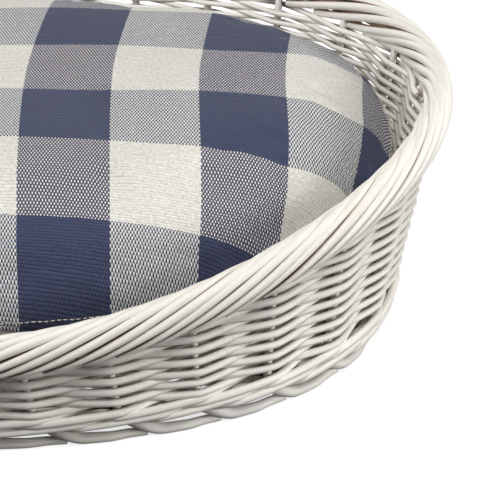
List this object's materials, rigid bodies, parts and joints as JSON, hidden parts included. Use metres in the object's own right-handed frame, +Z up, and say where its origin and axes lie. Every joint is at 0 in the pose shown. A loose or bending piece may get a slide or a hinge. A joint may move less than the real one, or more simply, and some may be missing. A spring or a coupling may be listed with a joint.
{
  "type": "wicker pet bed basket",
  "caption": "Oval woven willow pet bed with a rim dipped at the front, a rolled border, a foot ring and a loose checked cushion with a zipped underside.",
  "frame": {"origin": "on the ground under the centre of the basket", "axes": "+Z up, +X along the basket's long side, the dipped front faces -Y"},
  "size_m": [0.681, 0.474, 0.1799],
  "materials": {
    "painted_willow": "thin white paint wash over peeled willow rods, satin, brown showing in crevices",
    "checked_fabric": "ribbed woven cotton in large navy and cream checks, matt",
    "cream_canvas": "plain ribbed cream canvas, matt",
    "cushion_filling": "soft fibre filling, matt",
    "zip_fabric": "woven cream zip tape, matt",
    "zip_metal": "dull nickel, lightly brushed"
  },
  "bodies": {
    "basket": {"foot_border": "painted_willow", "base_weave": "painted_willow", "base_long_stick_1": "painted_willow", "base_long_stick_2": "painted_willow", "base_long_stick_3": "painted_willow", "base_long_stick_4": "painted_willow", "base_short_stick_1": "painted_willow", "base_short_stick_2": "painted_willow", "base_short_stick_3": "painted_willow", "base_short_stick_4": "painted_willow", "base_short_stick_5": "painted_willow", "base_short_stick_6": "painted_willow", "base_short_stick_7": "painted_willow", "side_stake_01": "painted_willow", "side_stake_02": "painted_willow", "side_stake_03": "painted_willow", "side_stake_04": "painted_willow", "side_stake_05": "painted_willow", "side_stake_06": "painted_willow", "side_stake_07": "painted_willow", "side_stake_08": "painted_willow", "side_stake_09": "painted_willow", "side_stake_10": "painted_willow", "side_stake_11": "painted_willow", "side_stake_12": "painted_willow", "side_stake_13": "painted_willow", "side_stake_14": "painted_willow", "side_stake_15": "painted_willow", "side_stake_16": "painted_willow", "side_stake_17": "painted_willow", "side_stake_18": "painted_willow", "side_stake_19": "painted_willow", "side_stake_20": "painted_willow", "side_stake_21": "painted_willow", "side_stake_22": "painted_willow", "side_stake_23": "painted_willow", "side_stake_24": "painted_willow", "side_stake_25": "painted_willow", "side_stake_26": "painted_willow", "side_stake_27": "painted_willow", "side_stake_28": "painted_willow", "side_stake_29": "painted_willow", "side_stake_30": "painted_willow", "upsett_rows": "painted_willow", "side_weave_1": "painted_willow", "side_weave_2": "painted_willow", "side_weave_3": "painted_willow", "side_weave_4": "painted_willow", "side_weave_5": "painted_willow", "side_weave_6": "painted_willow", "side_weave_7": "painted_willow", "side_weave_8": "painted_willow", "rolled_border": "painted_willow"},
    "cushion": {"cushion_pad": "cushion_filling", "cushion_top_cover": "checked_fabric", "cushion_base_cover": "cream_canvas", "zip_tape": "zip_fabric"},
    "zip": {"zip_slider": "zip_metal", "zip_pull": "zip_metal"}
  },
  "joints": [
    {"name": "cushion_lift", "type": "slide", "parent": "basket", "child": "cushion", "axis": [0, 0, 1], "range_m": [0, 0.25]},
    {"name": "zip_slide", "type": "slide", "parent": "cushion", "child": "zip", "axis": [1, 0, 0], "range_m": [0, 0.25]}
  ]
}
